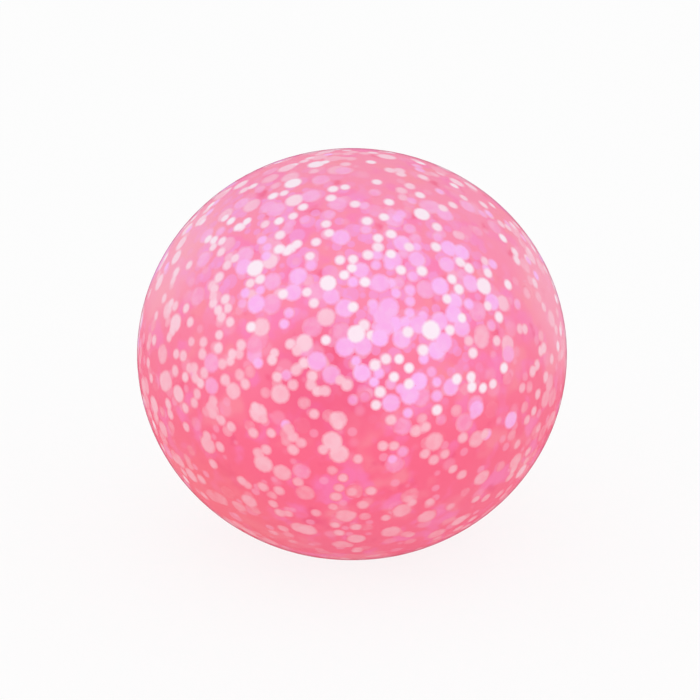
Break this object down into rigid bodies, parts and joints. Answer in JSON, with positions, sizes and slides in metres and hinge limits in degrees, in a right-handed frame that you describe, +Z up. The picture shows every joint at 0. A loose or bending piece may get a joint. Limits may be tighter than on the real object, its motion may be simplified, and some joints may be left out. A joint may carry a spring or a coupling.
{
  "type": "water bead squeeze ball",
  "caption": "Clear soft ball with a plugged filling hole in its flat foot, filled with pink water beads and glitter; it is pressed flatter by hand and springs back.",
  "frame": {"origin": "middle of the flat foot that the ball rests on", "axes": "+Z up, from the foot through the top of the ball; -Y towards the viewer of the picture"},
  "size_m": [0.06, 0.06, 0.055],
  "materials": {
    "clear_soft_rubber": "clear soft rubber, satin",
    "plug_rubber": "soft rubber, satin",
    "clear_sealant": "cured clear sealant, glossy",
    "pink_gel": "wet tinted gel, glossy",
    "pearl_glitter": "pearl film",
    "lilac_glitter": "lilac iridescent film",
    "pink_glitter": "pale pink pearl film"
  },
  "bodies": {
    "ball": {"clear_skin": "clear_soft_rubber", "filling_plug": "plug_rubber", "sealant_ring": "clear_sealant"},
    "bead_row_1": {"water_bead_01": "pink_gel", "water_bead_02": "pink_gel", "water_bead_03": "pink_gel", "water_bead_04": "pink_gel", "water_bead_05": "pink_gel"},
    "bead_row_2": {"glitter_flake_01": "lilac_glitter", "glitter_flake_02": "pink_glitter", "glitter_flake_03": "pearl_glitter", "glitter_flake_04": "lilac_glitter", "glitter_flake_05": "pink_glitter", "glitter_flake_06": "pearl_glitter", "glitter_flake_07": "lilac_glitter", "water_bead_06": "pink_gel", "water_bead_07": "pink_gel", "water_bead_08": "pink_gel", "water_bead_09": "pink_gel", "water_bead_10": "pink_gel", "water_bead_11": "pink_gel", "water_bead_12": "pink_gel"},
    "bead_row_3": {"glitter_flake_08": "pink_glitter", "glitter_flake_09": "pearl_glitter", "glitter_flake_10": "lilac_glitter", "glitter_flake_11": "pink_glitter", "glitter_flake_12": "pearl_glitter", "glitter_flake_13": "lilac_glitter", "glitter_flake_14": "pink_glitter", "water_bead_13": "pink_gel", "water_bead_14": "pink_gel", "water_bead_15": "pink_gel", "water_bead_16": "pink_gel", "water_bead_17": "pink_gel", "water_bead_18": "pink_gel", "water_bead_19": "pink_gel", "water_bead_20": "pink_gel", "water_bead_21": "pink_gel", "water_bead_22": "pink_gel", "water_bead_23": "pink_gel"},
    "bead_row_4": {"glitter_flake_15": "pearl_glitter", "glitter_flake_16": "lilac_glitter", "glitter_flake_17": "pink_glitter", "glitter_flake_18": "pearl_glitter", "glitter_flake_19": "lilac_glitter", "glitter_flake_20": "pink_glitter", "glitter_flake_21": "pearl_glitter", "water_bead_24": "pink_gel", "water_bead_25": "pink_gel", "water_bead_26": "pink_gel", "water_bead_27": "pink_gel", "water_bead_28": "pink_gel", "water_bead_29": "pink_gel", "water_bead_30": "pink_gel"},
    "bead_row_5": {"water_bead_31": "pink_gel", "water_bead_32": "pink_gel", "water_bead_33": "pink_gel", "water_bead_34": "pink_gel", "water_bead_35": "pink_gel"}
  },
  "joints": [
    {"name": "squeeze", "type": "slide", "parent": "ball", "child": "bead_row_5", "axis": [0, 0, -1], "range_m": [0, 0.014], "stiffness_N_per_m": 1200, "deforming": ["clear_skin"]},
    {"name": "squeeze_row_4", "type": "slide", "parent": "ball", "child": "bead_row_4", "axis": [0, 0, -1], "range_m": [0, 0.01107]},
    {"name": "squeeze_row_3", "type": "slide", "parent": "ball", "child": "bead_row_3", "axis": [0, 0, -1], "range_m": [0, 0.00809]},
    {"name": "squeeze_row_2", "type": "slide", "parent": "ball", "child": "bead_row_2", "axis": [0, 0, -1], "range_m": [0, 0.00511]},
    {"name": "squeeze_row_1", "type": "slide", "parent": "ball", "child": "bead_row_1", "axis": [0, 0, -1], "range_m": [0, 0.00213]}
  ],
  "couplings": [
    {"joint": "squeeze_row_4", "follows": "squeeze", "ratio": 0.7872},
    {"joint": "squeeze_row_3", "follows": "squeeze", "ratio": 0.5744},
    {"joint": "squeeze_row_2", "follows": "squeeze", "ratio": 0.36159},
    {"joint": "squeeze_row_1", "follows": "squeeze", "ratio": 0.14879}
  ]
}
